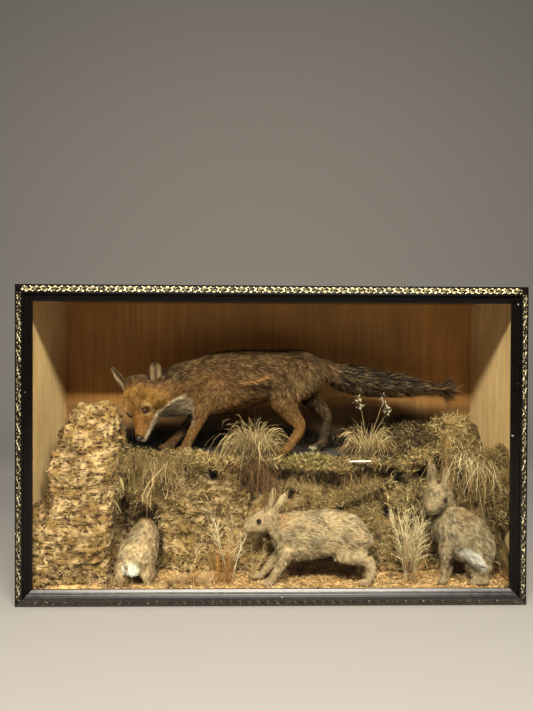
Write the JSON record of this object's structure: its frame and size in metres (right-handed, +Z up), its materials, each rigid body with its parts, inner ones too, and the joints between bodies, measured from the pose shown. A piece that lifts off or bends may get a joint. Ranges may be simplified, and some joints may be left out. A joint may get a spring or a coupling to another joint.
{
  "type": "cased taxidermy fox",
  "caption": "Glazed wooden display case holding a mounted fox stepping along a rocky ledge with rabbits below; rests on its flat floor board.",
  "frame": {"origin": "centre of the case's outline in plan, on the underside of the case", "axes": "X runs across the glazed front from the fox's head side to its tail side, Y runs from the glazed front (-Y) to the back boards, Z is up"},
  "size_m": [1.4, 0.42, 0.876],
  "materials": {
    "ebonised_frame": "ebonised moulding, semi-gloss, with a worn gilt scroll band along its outer slope",
    "case_glass": "clear old sheet glass",
    "case_pine": "plain pine, pale and dry inside, blackened outside",
    "rock_moss": "rough groundwork with dried moss, grit and straw",
    "cork_bark": "rough fissured virgin cork bark",
    "fox_grizzle": "dense grizzled brown fur",
    "fox_orange": "short orange fur, white on cheek and chin",
    "fox_dark": "long dark brown fur",
    "fox_eye_glass": "dark amber glass eye, glossy and opaque",
    "fox_nose_skin": "black pebbled skin",
    "rabbit_coat": "soft fawn grizzled fur with a white tail"
  },
  "bodies": {
    "root": {"frame_bottom": "ebonised_frame", "frame_top": "ebonised_frame", "frame_left": "ebonised_frame", "frame_right": "ebonised_frame", "board_left": "case_pine", "board_right": "case_pine", "board_floor": "case_pine", "board_top": "case_pine", "back_plank_1": "case_pine", "back_plank_2": "case_pine", "back_plank_3": "case_pine", "back_plank_4": "case_pine", "glass_pane": "case_glass", "ground_base": "rock_moss", "rock_mound": "rock_moss", "cork_pillar": "cork_bark", "ledge_bank": "cork_bark", "fox_neck": "fox_grizzle", "fox_trunk": "fox_grizzle", "fox_head": "fox_orange", "fox_foreleg_left": "fox_orange", "fox_hindleg_left": "fox_orange", "fox_tail": "fox_dark", "fox_foreleg_right": "fox_dark", "fox_hindleg_right": "fox_dark", "fox_ear_left": "fox_dark", "fox_ear_right": "fox_dark", "fox_eye_left": "fox_eye_glass", "fox_eye_right": "fox_eye_glass", "fox_nose": "fox_nose_skin", "rabbit_left": "rabbit_coat", "rabbit_middle": "rabbit_coat", "rabbit_right": "rabbit_coat"}
  },
  "joints": []
}
